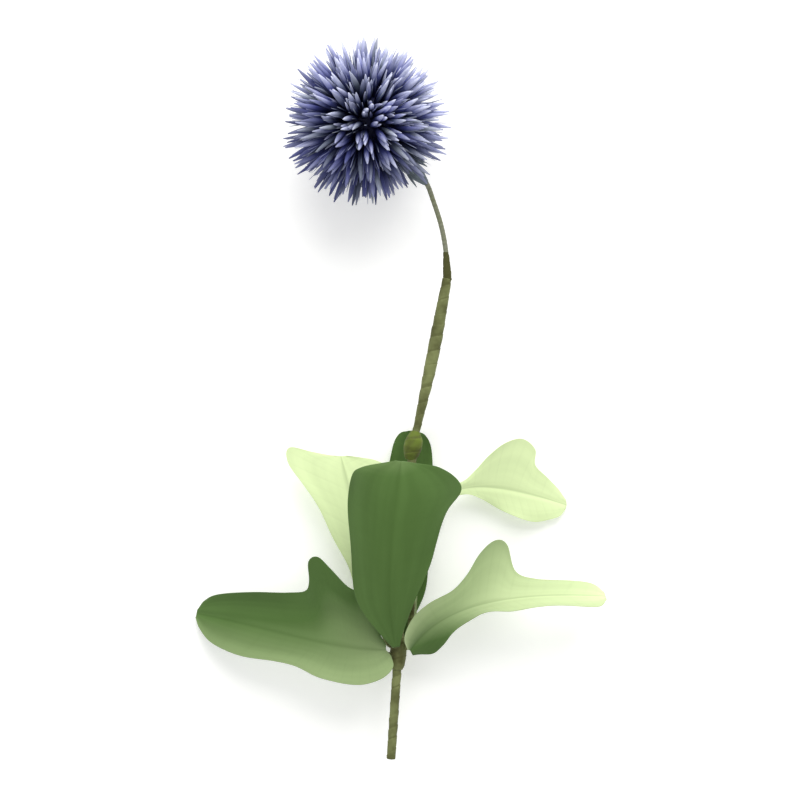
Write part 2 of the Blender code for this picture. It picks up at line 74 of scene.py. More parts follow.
# The flower head. A floret or bristle is a spike, and its profile is its radius as a share of the widest.
HEAD_CENTRE = (-8.4, 138.7, 11.1)
HEAD_TO_STEM = np.array((0.670, -0.659, -0.342)) / np.linalg.norm((0.670, -0.659, -0.342))
HEAD_RADIUS = 22.5
CORE_RADIUS = 9.0
TIP_CLEARANCE = 0.3  # from the lowest tips to the surface
REST_REACH = BINDING[2] / MM + HEAD_CENTRE[2] - TIP_CLEARANCE  # from the head's centre down to those tips
TIP_BAND = 0.85  # a CAD vertex further out than this share of the head's radius is a floret's tip
FLORET_PROFILE = (0.50, 0.58, 0.74, 0.94, 1.0, 0.88, 0.62, 0.20)
FLORET_SIDES = 7
FLORET_SEED = 7
FLORET_DEPTH = 1.5  # of a floret's root in the core
ROOT_SCATTER = 0.05
AIM_SCATTER = 0.022
TALL_WIDTH = (0.80, 1.08)  # of a full floret, as shares of the floret's width
SHORT_WIDTH = (0.55, 0.8)  # of a shorter floret
SHORT_REACH = (0.70, 0.88)  # as shares of the full floret's
SHORT_LEAN = (0.06, 0.11)  # away from the full floret, in radians
SAGE_SHARE = 0.16  # of the florets
BRISTLE_PROFILE = (0.7, 1.0, 0.8, 0.3)
BRISTLE_SIDES = 4
BRISTLE_DEPTH = 0.5
BRISTLE_REACH = (0.80, 0.97)
BRISTLE_LEAN = (0.07, 0.15)
LIT_SIDE_WAY = (0.25, 0.93, 0.28)  # painted light: florets on this side of the head, towards the key light, are painted palest
CLUMP_COUNT = 150
CLUMP_SCATTER = 0.05
CLUMP_PULL = 0.50  # how far a floret's tip leans to the middle of its clump
HUB_RADIUS = CORE_RADIUS - 0.3
HUB_ROWS, HUB_COLUMNS = 47, 64
HUB_WAVE = 0.02  # depth of its sockets, as a share of its radius
HUB_WAVES = (15, 16)  # half waves from pole to pole, and whole waves round it
HUB_VALUES = (0.30, 0.3, 0.1)  # along, tint, and random paleness plus painted light

# The collar. A bract's foot is counted from the head's centre along the stem, its lift from the stem's axis.
COLLAR_SPAN = (8.9, 23.5)  # from the head's centre, along the stem
COLLAR_SWELL = ((0, 0.25, 0.55, 0.80, 0.94, 1.0), (1.55, 1.95, 2.05, 1.65, 1.05, 0.75))  # shares, radii
COLLAR_ROWS, COLLAR_COLUMNS = 40, 48
COLLAR_RIBS = 12
COLLAR_SEED = 11
COLLAR_RIB_HEIGHT = 0.06  # as a share of its radius
COLLAR_VALUES = (0.75, 0.8, 0.2)  # along, tint, and random paleness plus painted light
BRACT_COUNT = 18
BRACT_SIDES = 6
BRACT_RADIUS = 0.38
BRACT_FOOT = (11.0, 15.0)
BRACT_MIDDLE = 3.0  # from a bract's foot, along the stem
BRACT_LENGTH = (5.0, 7.0)
BRACT_LIFT = (1.7, 2.6, (3.0, 4.6))  # of its foot, of its middle, and the least and most of its tip

# The stem, the stalk and the leaf stalks.
STEM_BEND = ((9.2, 118.6, 2.1), (11.3, 112.0, 1.4))
SLEEVE_TOP = (12.5, 105.4, 1.1)
SLEEVE_OVERLAP = 0.15  # how far it runs on over the stalk, as a share of its length
STALK_TOP = (12.9, 98.6, 1.0)
NODE_CENTRE = (3.9, 54.5, 0.4)
CUT_END = (-1.9, -28.0, -0.9)
BINDING_LENGTH = 9.0
BINDING_RADIUS = 2.3
ROUTE_STEPS = 24  # from one given point of a route to the next
ROUTE_SPACING = 0.12  # between the rings of a taped stem
LEAST_RINGS = 8
END_SHARE = 0.25  # the least radius at a taped stem's ends, as a share of its radius there
TAPE_SLIP = 0.12  # how unevenly the tape's turns lie, as a share of a turn
TAPE_WOBBLE = 0.25  # of its surface, as a share of its step
STALK_BOW = (0.35, 0, 0)  # of the upper stalk's middle
NODE_HALF_LENGTH = 4.0
PETIOLE_SHARE = 0.08  # where a leaf stalk meets its blade, as a share of the midrib
PETIOLE_DEPTH = 1.2  # from the blade's middle surface to the leaf stalk's middle
PETIOLE_DROP = 1.4  # from there down to the stalk's foot
PETIOLE_FOOT_LIMIT = 0.2  # how far from the binding's middle a foot may be, as a share of its length
PETIOLE_FOOT_DEPTH = 0.4  # of the foot in the binding
PETIOLE_LEADS = (1.8, 1.2)  # how far its curve leans straight on from its foot and from the blade
PETIOLE_OVERLAP = (1.5, 0.4)  # how far it runs on along the midrib, and in towards the blade
PETIOLE_POINTS = 9

# A blade's skin.
BLADE_STRIPS = 36  # from edge to edge
RIB_STEPS = 10  # from one rib to the next
PAINTED_LIGHT_STEPS = 20  # from one given value of painted light and shade to the next
CREASE_WIDTH = 0.8
VEINS_TO_A_RIB = 1.5
VEIN_SPREAD = 0.006
EDGE_WAVES = 3.4
EDGE_LAG = 1.7  # of the waves of one edge after the other's, in radians
EDGE_THINNING = 0.96  # 1 would bring the edge to nothing
LEAF_LAG = 1.3  # of one leaf's waves after the last one's, in radians

FLOOR_REACH = 4.0  # in metres
LIGHTS = {  # name: place and size in metres, share of the key light's power, colour
    "key": ((0.15, 0.95, 0.85), 1.1, 1.0, (1.0, 0.99, 0.96)),
    "fill": ((-0.7, -0.4, 1.0), 1.1, 0.2, (0.96, 0.98, 1.0)),
}

# Each leaf: the curve of its midrib; the way its upper side faces, evenly spread from root to tip; the
# radius and the largest angle of its fold; the painted light and shade at its left edge, its midrib and its
# right edge, evenly spread from root to tip, where above 0 is painted paler where light falls and less than 0
# is painted shade darker than full green; and its ribs. A rib is its share along the midrib, then the share
# along and the reach of its left end and of its right end.
LEAVES = {
    "front": {
        "spine": ((-0.6, 1.8, 4.9), (-4.0, 16, 11.0), (-1.5, 34, 16.5), (0.8, 50.6, 13.5)),
        "faces": ((0, -0.45, 0.9), (0.1, 0.15, 1)),
        "fold": (17, 52),
        "pale": ((-0.1, -0.1, 0.08), (-0.3, -0.2, 0.08), (-0.3, -0.25, 0.03)),
        "ribs": (
            (0.0, 0.0, 1.0, 0.0, 1.0), (0.08, 0.11, 3.8, 0.12, 3.4),
            (0.2, 0.28, 8.6, 0.27, 6.6), (0.34, 0.45, 10.6, 0.45, 10.2),
            (0.5, 0.62, 12.4, 0.62, 12.4), (0.66, 0.79, 14.2, 0.78, 15.0),
            (0.8, 0.885, 14.6, 0.9, 18.6), (0.92, 0.935, 10.6, 0.985, 11.0),
            (1.0, 0.998, 1.5, 1.003, 1.5),
        ),
    },
    "left": {
        "spine": ((-3.2, 1.0, 2.2), (-18, 1, 4.2), (-36, 7.5, -1.0), (-53.4, 10, -9.9)),
        "faces": ((0.1, 0.1, 1), (-0.1, 0.05, 1)),
        "fold": (16, 36),
        "pale": ((0.28, 0.3, 0.15), (0.28, 0.14, -0.05), (0.02, -0.15, -0.2)),
        "ribs": (
            (0.0, -0.03, 1.6, 0.0, 1.4), (0.03, -0.035, 4.6, 0.05, 5.2),
            (0.07, 0.01, 7.4, 0.1, 10.6), (0.11, 0.08, 9.2, 0.16, 15.6),
            (0.16, 0.15, 10.3, 0.26, 17.4), (0.21, 0.22, 10.7, 0.36, 21.5),
            (0.25, 0.28, 10.4, 0.43, 24.4), (0.29, 0.34, 9.6, 0.47, 22.6),
            (0.335, 0.4, 8.6, 0.46, 16.6), (0.385, 0.46, 8.1, 0.48, 13.0),
            (0.48, 0.56, 8.2, 0.57, 11.2), (0.64, 0.72, 8.8, 0.73, 9.2),
            (0.82, 0.88, 7.1, 0.9, 6.2), (0.935, 0.96, 4.2, 0.97, 3.6),
            (1.0, 0.998, 1.2, 0.998, 1.2),
        ),
    },
    "right": {
        "spine": ((3.2, 0.8, 2.2), (10, 12, 5.5), (27, 17, 8.5), (54.4, 15, 1.5)),
        "faces": ((0.35, -0.5, 0.8), (0.0, 0.7, 0.7), (-0.05, 0.8, 0.6)),
        "fold": (17, 60),
        "pale": ((0.62, 0.35, 1.0), (-0.02, 0.46, 1.0), (-0.4, 0.5, 0.85)),
        "ribs": (
            (0.0, 0.0, 1.1, -0.03, 1.6), (0.07, 0.06, 4.2, 0.05, 5.6),
            (0.16, 0.16, 5.4, 0.2, 5.6), (0.26, 0.27, 5.6, 0.32, 4.4),
            (0.34, 0.39, 6.0, 0.4, 3.8), (0.41, 0.475, 9.0, 0.47, 3.8),
            (0.47, 0.56, 14.2, 0.54, 4.0), (0.53, 0.63, 17.0, 0.6, 4.6),
            (0.58, 0.67, 15.4, 0.65, 5.0), (0.64, 0.69, 8.2, 0.72, 5.4),
            (0.74, 0.77, 5.8, 0.82, 5.6), (0.86, 0.9, 5.0, 0.91, 5.6),
            (0.95, 0.965, 4.0, 0.97, 4.8), (1.0, 0.998, 1.8, 0.998, 1.8),
        ),
    },
    "back_left": {
        "spine": ((-4.6, 6.6, -3.5), (-8, 20, -2.9), (-11, 36, -3.1), (-15, 51.2, -5.5)),
        "faces": ((0.1, 0, 1), (0.05, 0.15, 1)),
        "fold": (45, 20),
        "pale": ((0.85, 1.0), (0.85, 1.0), (0.75, 0.95)),
        "ribs": (
            (0.0, 0.0, 1.0, 0.0, 1.0), (0.1, 0.12, 2.6, 0.12, 3.0),
            (0.22, 0.25, 4.2, 0.25, 4.6), (0.34, 0.4, 4.8, 0.4, 6.0),
            (0.46, 0.57, 7.0, 0.55, 7.6), (0.58, 0.75, 9.0, 0.68, 9.4),
            (0.7, 0.91, 12.0, 0.79, 11.0), (0.81, 1.04, 14.2, 0.88, 11.4),
            (0.89, 1.12, 13.0, 0.94, 8.6), (0.96, 1.07, 7.2, 0.975, 5.0),
            (1.01, 1.02, 1.5, 1.003, 1.5),
        ),
    },
    "back_right": {
        "spine": ((4.0, 7.2, -3.3), (3, 40, -2.0), (9, 51, -3.0), (44.6, 38.6, -10.1)),
        "faces": ((-0.1, 0, 1), (0.05, 0.15, 1)),
        "fold": (40, 20),
        "pale": ((0.85, 1.0), (0.85, 1.0), (0.75, 0.95)),
        "ribs": (
            (0.0, 0.0, 0.9, 0.0, 0.9), (0.18, 0.18, 1.3, 0.18, 1.3),
            (0.38, 0.38, 1.5, 0.38, 1.5), (0.56, 0.56, 1.5, 0.56, 1.4),
            (0.65, 0.66, 2.0, 0.66, 1.7), (0.7, 0.715, 4.6, 0.72, 3.0),
            (0.74, 0.755, 8.2, 0.77, 4.4), (0.78, 0.8, 12.0, 0.815, 5.8),
            (0.82, 0.845, 13.8, 0.86, 6.8), (0.86, 0.885, 11.8, 0.9, 7.2),
            (0.895, 0.895, 7.8, 0.935, 6.8), (0.93, 0.935, 5.4, 0.965, 5.4),
            (0.96, 0.97, 3.4, 0.99, 3.6), (1.0, 0.995, 1.3, 1.0, 1.2),
        ),
    },
    "back": {
        "spine": ((0.3, 3.0, -5.7), (1.5, 20, -10.1), (2.5, 40, -10.1), (3.8, 58.3, -7.3)),
        "faces": ((0, 0.2, 1), (0, -0.1, 1)),
        "fold": (50, 20),
        "pale": ((-0.2, -0.2), (-0.2, -0.2), (-0.2, -0.2)),
        "ribs": (
            (0.0, 0.0, 1.0, 0.0, 1.0), (0.1, 0.12, 3.2, 0.12, 3.4),
            (0.22, 0.27, 7.6, 0.25, 6.0), (0.34, 0.4, 8.4, 0.38, 6.4),
            (0.45, 0.5, 6.2, 0.48, 5.6), (0.56, 0.64, 8.6, 0.62, 8.8),
            (0.68, 0.76, 6.2, 0.75, 6.4), (0.8, 0.86, 5.5, 0.86, 5.8),
            (0.89, 0.94, 4.7, 0.94, 5.0), (0.95, 0.985, 3.2, 0.985, 3.4),
            (1.0, 0.999, 1.2, 0.999, 1.2),
        ),
    },
}


# ---- Settings ----


def number_property(name, description, default, **kind):
    return bpy.props.FloatProperty(name=name, description=description, default=default, min=0, **kind)


def length_property(name, description, millimetres):
    kind = {"precision": 5, "unit": "LENGTH", "subtype": "DISTANCE"}
    return number_property(name, description, millimetres * MM, **kind)


def colour_property(name, description, colour):
    kind = {"size": 3, "min": 0, "max": 1, "subtype": "COLOR"}
    return bpy.props.FloatVectorProperty(name=name, description=description, default=colour, **kind)


class HeadSettings(bpy.types.PropertyGroup):
    """Sizes and colours of the flower head."""

    floret_radius: length_property("Floret radius", "Half the width of a floret's body", 0.75)
    floret_bow: length_property("Floret bow", "How far a floret bends to one side", 0.9)
    bristle_radius: length_property("Bristle radius", "Half the width of a bristle between florets", 0.20)
    # Painted shade: the near black deep between the florets and on the hub
    root_shade_colour: colour_property("Root", "Deep between the florets", (0.002, 0.004, 0.045))
    body_colour: colour_property("Body", "Most of a floret's length", (0.11, 0.13, 0.50))
    slate_colour: colour_property("Slate", "The duller patches of the head", (0.10, 0.12, 0.29))
    # Partly the florets' own paler tips, partly painted highlight
    tip_colour: colour_property("Tip", "The pale end of a floret", (0.76, 0.79, 1.0))
    sage_colour: colour_property("Sage", "The greyer florets and bristles", (0.22, 0.27, 0.28))
    collar_colour: colour_property("Collar", "The sleeve under the florets", (0.05, 0.06, 0.10))


class StemSettings(bpy.types.PropertyGroup):
    """Sizes and colours of the stem, stalk and tape."""

    tape_pitch: length_property("Tape pitch", "From one turn of the tape to the next", 3.4)
    tape_step: length_property("Tape step", "Height of the tape's edge", 0.12)
    stem_radius: length_property("Stem radius", "Half the width of the head's thin stem", 0.70)
    stem_colour: colour_property("Stem", "The thin stem's wrapping", (0.23, 0.24, 0.18))
    tape_colour: colour_property("Tape", "The stalk's tape", (0.20, 0.225, 0.085))
    # The darker tape of the sleeve and blotches, and the painted shade in folds and under each turn
    dark_tape_and_shade: colour_property("Tape shade", "The tape's darker folds", (0.060, 0.062, 0.012))
    node_colour: colour_property("Node", "The swelling of the stalk", (0.135, 0.19, 0.02))


class LeafSettings(bpy.types.PropertyGroup):
    """Sizes and colours of the leaves."""

    thickness: length_property("Thickness", "Of the blade near its midrib", 0.55)
    midrib_depth: length_property("Midrib depth", "Of the crease along the middle", 0.30)
    vein_depth: length_property("Vein depth", "Of the creases along the side veins", 0.05)
    wave: length_property("Wave", "How far the edge rises and falls", 0.35)
    green: colour_property("Green", "The blade in full colour", (0.088, 0.170, 0.040))
    # Also the painted shade of blades that lie in shadow
    dark: colour_property("Dark green", "Patches and veins of the blade", (0.045, 0.098, 0.015))
    # Painted light: the colour of the most brightly lit blades
    pale: colour_property("Pale green", "The palest blades", (0.76, 0.90, 0.50))


class StageSettings(bpy.types.PropertyGroup):
    """The surface, the lights and the camera."""

    floor_colour: colour_property("Floor", "The surface under the flower", (0.95, 0.95, 0.94))
    glow: number_property("Glow", "Strength of the surface's own light", 0.25, subtype="FACTOR")
    margin: number_property(
        "Margin", "Room round the flower, as a share of its length", 0.05, subtype="FACTOR", max=1
    )
    lens: number_property("Lens", "Focal length of the camera in millimetres", 200, unit="CAMERA")
    key_power: number_property("Key light", "Power of the main light", 15.0, unit="POWER")
    sky: number_property("Sky", "Strength of the even light from all sides", 0.55, subtype="FACTOR")


# ---- Surfaces ----


def placed(points):
    """Points in millimetres from the binding, as points of the scene in metres."""
    return BINDING + np.asarray(points, dtype=float) * MM


def unit(vectors):
    """Each vector divided by its length."""
    return vectors / np.linalg.norm(vectors, axis=-1, keepdims=True)


def smooth_rows(rows, steps):
    """Rows between the given ones: a Catmull-Rom curve, where each stretch is a cubic whose ends lean
    along the line between its neighbours."""
    rows = np.asarray(rows, dtype=float)
    ends = np.vstack((2 * rows[0] - rows[1], rows, 2 * rows[-1] - rows[-2]))
    share = np.linspace(0, len(rows) - 1, (len(rows) - 1) * steps + 1)
    k = np.minimum(share.astype(int), len(rows) - 2)
    t = (share - k)[:, None]
    a, b, c, d = ends[k], ends[k + 1], ends[k + 2], ends[k + 3]
    return (2 * b + (c - a) * t + (2 * a - 5 * b + 4 * c - d) * t**2 + (3 * (b - c) + d - a) * t**3) / 2


def between(places, keys, points):
    """A point at each place, on the straight lines between the points at the keys."""
    return np.stack([np.interp(places, keys, points[:, axis]) for axis in range(3)], axis=-1)


def even_path(points):
    """A smooth curve through the points, with its own points evenly spaced along it, and their places."""
    dense = smooth_rows(points, ROUTE_STEPS)
    length = np.concatenate(((0,), np.cumsum(np.linalg.norm(np.diff(dense, axis=0), axis=1))))
    places = np.linspace(0, length[-1], max(int(length[-1] / ROUTE_SPACING), LEAST_RINGS))
    return between(places, length, dense), places


def on_bezier(points, t):
    """Place and direction at each t on a cubic Bezier curve, which runs on straight past its end."""
    a, b, c, d = np.asarray(points, dtype=float)
    s = np.minimum(t, 1.0)[..., None]
    u = 1 - s
    place = a * u**3 + b * 3 * s * u**2 + c * 3 * s**2 * u + d * s**3
    way = (b - a) * 3 * u**2 + (c - b) * 6 * s * u + (d - c) * 3 * s**2
    return place + way * (t[..., None] - s), unit(way)


def grid_quads(rows, columns):
    """Corners of the faces of a grid whose last column joins its first."""
    row, column = np.meshgrid(np.arange(rows - 1), np.arange(columns), indexing="ij")
    after = (column + 1) % columns
    corners = (row * columns + column, row * columns + after, (row + 1) * columns + after)
    return np.stack((*corners, (row + 1) * columns + column), axis=-1).reshape(-1, 4)


def end_fans(rows, columns):
    """Corners of the triangles that close a grid's first and last rows to the two poles after its points."""
    first = np.arange(columns)
    after = (first + 1) % columns
    last = first + (rows - 1) * columns
    near = np.stack((after, first, np.full(columns, rows * columns)), axis=1)
    far = np.stack((last, last[after], np.full(columns, rows * columns + 1)), axis=1)
    return np.vstack((near, far))


def tube_surface(path, radii):
    """A round skin along a path: each point is the path's, plus its radius times a direction that turns
    about the path. Both ends are closed by fans to a pole. radii has a row for each point of the path.
    Returns points and faces, which are a list of arrays of corners, as everywhere here."""
    rows, columns = radii.shape
    along = unit(np.gradient(path, axis=0))
    side = unit(np.cross(along, (0.0, 0.0, 1.0)))
    up = np.cross(side, along)
    angle = np.linspace(0, 2 * np.pi, columns, endpoint=False)[None, :, None]
    skin = path[:, None] + radii[..., None] * (np.cos(angle) * side[:, None] + np.sin(angle) * up[:, None])
    points = np.vstack((skin.reshape(-1, 3), path[:1], path[-1:]))
    return points, [grid_quads(rows, columns), end_fans(rows, columns)]


def rounded(places, radius, end):
    """The radius along a length, scaled down over a quarter circle of size end at both ends."""
    near = np.clip(1 - np.minimum(places, places[-1] - places) / end, 0, 1)
    return radius * np.maximum(np.sqrt(1 - near**2), END_SHARE)


def wound(places, radius, columns, pitch, step):
    """Radii of a stem wound with tape: the plain radius less a step that grows evenly over each turn. The
    turn's share is the place over the pitch plus the angle over a full circle. Sines add the unevenness."""
    turn = np.linspace(0, 1, columns, endpoint=False)
    slip = TAPE_SLIP * np.sin(places * 2 * np.pi / (pitch * 3.7))
    share = (places / pitch + slip)[:, None] + turn
    wobble = TAPE_WOBBLE * step * np.sin(places[:, None] * 2 * np.pi / (pitch * 1.3) + 2 * np.pi * turn)
    return radius[:, None] - step * (share % 1.0) + wobble


def add_piece(name, points, faces, finish, nodes, attributes):
    """A closed mesh that faces out, with its finish, riding on the flower in place of the CAD nodes."""
    mesh = bpy.data.meshes.new(name)
    mesh.from_pydata(points.tolist(), [], [face for block in faces for face in block.tolist()])
    mesh.polygons.foreach_set("use_smooth", np.ones(len(mesh.polygons), dtype=bool))
    for attribute, values in attributes.items():
        layer = mesh.attributes.new(attribute, "FLOAT", "POINT")
        layer.data.foreach_set("value", values.astype(np.float32))
    mesh.calc_loop_triangles()
    corners = np.empty(len(mesh.loop_triangles) * 3, dtype=np.int64)
    mesh.loop_triangles.foreach_get("vertices", corners)
    a, b, c = points[corners.reshape(-1, 3)].transpose(1, 0, 2)
    if np.sum(a * np.cross(b, c)) < 0:
        mesh.flip_normals()
    mesh.validate()
    mesh.materials.append(finish)
    piece = bpy.data.objects.new(name, mesh)
    bpy.context.collection.objects.link(piece)
    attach(piece, "root")
    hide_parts(*nodes)


# ---- Finishes ----


class Link:
    """One value in a finish. Sums and products of links, and numbers less a link, add its Math nodes."""

    def __init__(self, finish, socket):
        self.finish = finish
        self.socket = socket

    def math(self, operation, first, second):
        return self.finish.add("ShaderNodeMath", "Value", {"operation": operation}, {0: first, 1: second})

    def __add__(self, other):
        return self.math("ADD", self, other)

    def __rsub__(self, other):
        return self.math("SUBTRACT", other, self)

    def __mul__(self, other):
        return self.math("MULTIPLY", self, other)

    def __abs__(self):
        return self.math("ABSOLUTE", self, 0)

    __radd__ = __add__
    __rmul__ = __mul__


class Finish:
    """A material with one Principled shader, whose constants are given by socket name."""

    def __init__(self, name, **constants):
        self.material = bpy.data.materials.new(name)
        self.material.use_nodes = True
        self.tree = self.material.node_tree
        self.shader = self.tree.nodes["Principled BSDF"]
        for socket, value in constants.items():
            self.shader.inputs[socket.replace("_", " ")].default_value = value

    def add(self, kind, output, settings, values):
        """A new node's output. Settings come first, then the values or links of its sockets. The output and
        the sockets go by name or by number."""
        node = self.tree.nodes.new(kind)
        for name, value in settings.items():
            if name == "stops":
                self.fill_ramp(node.color_ramp, value)
            else:
                setattr(node, name, value)
        for name, value in values.items():
            self.feed(node.inputs[name], value)
        return Link(self, node.outputs[output])

    def fill_ramp(self, ramp, stops):
        """The stops of a ramp, each a place and a grey."""
        while len(ramp.elements) < len(stops):
            ramp.elements.new(1.0)
        for element, (place, grey) in zip(ramp.elements, stops):
            element.position = place
            element.color = (grey, grey, grey, 1)

    def feed(self, socket, value):
        if isinstance(value, Link):
            self.tree.links.new(value.socket, socket)
        else:
            socket.default_value = value

    def attribute(self, name):
        return self.add("ShaderNodeAttribute", "Fac", {"attribute_name": name}, {})

    def noise(self, scale, detail):
        """Soft noise in the object's own space. scale counts its lumps in a metre."""
        space = self.add("ShaderNodeTexCoord", "Object", {}, {})
        return self.add("ShaderNodeTexNoise", "Fac", {}, {"Vector": space, "Scale": scale, "Detail": detail})

    def ramp(self, value, *stops):
        """The value through a ramp of greys."""
        ramp = self.add("ShaderNodeValToRGB", "Color", {"stops": stops}, {"Fac": value})
        return self.add("ShaderNodeSeparateColor", "Red", {}, {"Color": ramp})

    def mix(self, factor, first, second):
        """The colour between two others. The node keeps its colour sockets after those for numbers."""
        first, second = (colour if isinstance(colour, Link) else (*colour, 1) for colour in (first, second))
        return self.add("ShaderNodeMix", 2, {"data_type": "RGBA"}, {"Factor": factor, 6: first, 7: second})

    def done(self, colour, roughness, height, strength, distance):
        """The material, with its colour and roughness fed, and its bumps from a height."""
        bumps = {"Height": height, "Strength": strength, "Distance": distance}
        normal = self.add("ShaderNodeBump", "Normal", {}, bumps)
        for socket, value in (("Base Color", colour), ("Roughness", roughness), ("Normal", normal)):
            self.feed(self.shader.inputs[socket], value)
        return self.material


def floret_finish(head):
    """Moulded florets: near black at the root, painted as shade deep between them, violet blue along the
    body, pale at the tip, partly the florets' own paler tips and partly painted highlight. tint runs from
    blue florets
    to sage ones. The third value is a random paleness plus painted light that grows on the side the light
    falls on:
    it paints the body lighter and the tip paler."""
    finish = Finish("floret", Specular_IOR_Level=0.35)
    along = finish.attribute("along")
    tint = finish.attribute("tint")
    # Random paleness plus painted light, larger on the side the light falls on
    fade = finish.attribute("fade")
    patch = finish.ramp(finish.noise(75, 1.0), (0.35, 0.0), (0.65, 1.0))
    grain = finish.noise(900, 3.0)
    blue = finish.mix(patch, head.body_colour, head.slate_colour)
    body = finish.mix(finish.ramp(tint, (0.3, 0.0), (1.0, 1.0)), blue, head.sage_colour)
    # Painted shade: the root end of each floret takes the near black root colour, as shade deep between the
    # florets
    lit = finish.ramp(along, (0.34, 0.0), (0.72, 1.0)) * (0.35 + fade * 0.65)
    deep = finish.mix(lit, head.root_shade_colour, body)
    # Pale tips: partly the florets' own, partly painted highlight, strongest on the lit side
    pale = finish.ramp(along, (0.58, 0.0), (0.80, 0.60), (1.0, 1.0)) * fade * (0.65 + grain * 0.7)
    return finish.done(finish.mix(pale, deep, head.tip_colour), 0.5 + grain * 0.2, grain, 0.25, 0.0002)


def collar_finish(head):
    """The collar's dull blue grey, streaked along its length."""
    finish = Finish("collar", Specular_IOR_Level=0.3)
    streak = finish.noise(700, 3.0)
    colour = finish.mix(streak, head.collar_colour, head.sage_colour)
    return finish.done(colour, 0.6 + streak * 0.2, streak, 0.3, 0.0002)


def stem_finish(stem):
    """The thin stem's grey green wrapping, blotched, with painted shade in the grooves of its thread."""
    finish = Finish("stem", Specular_IOR_Level=0.3)
    lay = finish.attribute("winding")
    blotch = finish.noise(260, 3.0)
    # Random blotches between the stem's colour and the tape's
    blotched_colour = finish.mix(finish.ramp(blotch, (0.35, 0.0), (0.7, 0.5)), stem.stem_colour, stem.tape_colour)
    # Painted shade in the grooves between the turns of the thread
    colour = finish.mix(lay * 0.35, blotched_colour, stem.dark_tape_and_shade)
    return finish.done(colour, 0.55 + blotch * 0.2, finish.noise(2600, 2.0), 0.3, 0.0001)


def tape_finish(name, stem, colour):
    """Waxed paper tape: crinkled, with painted shade under the edge of each turn, blotched olive."""
    finish = Finish(name, Specular_IOR_Level=0.35)
    winding = finish.attribute("winding")
    crinkle = finish.noise(1500, 4.0)
    blotch = finish.noise(170, 3.0)
    ground = finish.mix(finish.ramp(blotch, (0.38, 0.0), (0.68, 1.0)), colour, stem.dark_tape_and_shade)
    # Painted shade under the edge of each turn
    edge = finish.ramp(winding, (0.0, 0.0), (0.72, 0.05), (1.0, 0.5))
    colour = finish.mix(edge, ground, stem.dark_tape_and_shade)
    return finish.done(colour, 0.55 + crinkle * 0.3, crinkle, 0.45, 0.0002)


def leaf_finish(leaf):
    """A matt leaf with a soft nap. Its painted light and shade runs from painted shade at -1 by full green at
    0 to the brightest painted light at 1. Long soft streaks follow the blade, and the midrib and the side
    veins are a little darker."""
    finish = Finish("leaf", Specular_IOR_Level=0.15, Sheen_Weight=0.12, Sheen_Roughness=0.6)
    across = finish.attribute("across")
    along = finish.attribute("along")
    pale = finish.attribute("pale")
    cloud = finish.noise(60, 2.0)
    nap = finish.noise(5200, 2.0)
    place = finish.add("ShaderNodeCombineXYZ", "Vector", {}, {0: across * 3, 1: along * 1.3})
    sockets = {"Vector": place, "Scale": 1.0, "Detail": 2.0}
    streak = finish.add("ShaderNodeTexNoise", "Fac", {"noise_dimensions": "2D"}, sockets)
    lines = finish.ramp(cloud * 0.4 + streak * 0.6, (0.36, 0.0), (0.62, 1.0))
    green = finish.mix(lines * 0.4, leaf.green, leaf.dark)
    light = finish.mix(lines * 0.10, leaf.pale, leaf.green)
    # Painted light: the blade is painted towards pale green where light falls on it
    blade = finish.mix(finish.ramp(pale, (0.0, 0.0), (1.0, 1.0)), green, light)
    # Painted shade: the blade is painted towards dark green where it lies in shade
    blade = finish.mix(finish.ramp(0 - pale, (0.0, 0.0), (1.0, 1.0)), blade, leaf.dark)
    midrib = 1 - finish.ramp(abs(across), (0.0, 0.0), (0.07, 1.0))
    vein = finish.attribute("vein")
    colour = finish.mix(midrib * 0.25 + vein * 0.06, blade, leaf.dark)
    return finish.done(colour, 0.75 + nap * 0.15, nap * 0.6 + cloud * 0.4, 0.2, 0.0002)


def floor_finish(stage):
    """The surface's even finish, which glows a little so that shadows on it stay soft."""
    white = (1, 1, 1, 1)
    finish = Finish("surface", Roughness=0.9, Emission_Color=white, Emission_Strength=stage.glow)
    colour = finish.mix(finish.noise(6, 2.0) * 0.03, stage.floor_colour, (0.8, 0.8, 0.8))
    finish.feed(finish.shader.inputs["Base Color"], colour)
    return finish.material


# ---- Flower head ----


def tips_of(node):
    """The tips of a CAD node's florets: its outermost vertices, each once, in millimetres from the head's
    centre."""
    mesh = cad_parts[node].data
    points = np.empty(len(mesh.vertices) * 3)
    mesh.vertices.foreach_get("co", points)
    points = (points.reshape(-1, 3) - placed(HEAD_CENTRE)) / MM
    outer = points[np.linalg.norm(points, axis=1) > TIP_BAND * HEAD_RADIUS]
    return np.unique(np.round(outer, 3), axis=0)


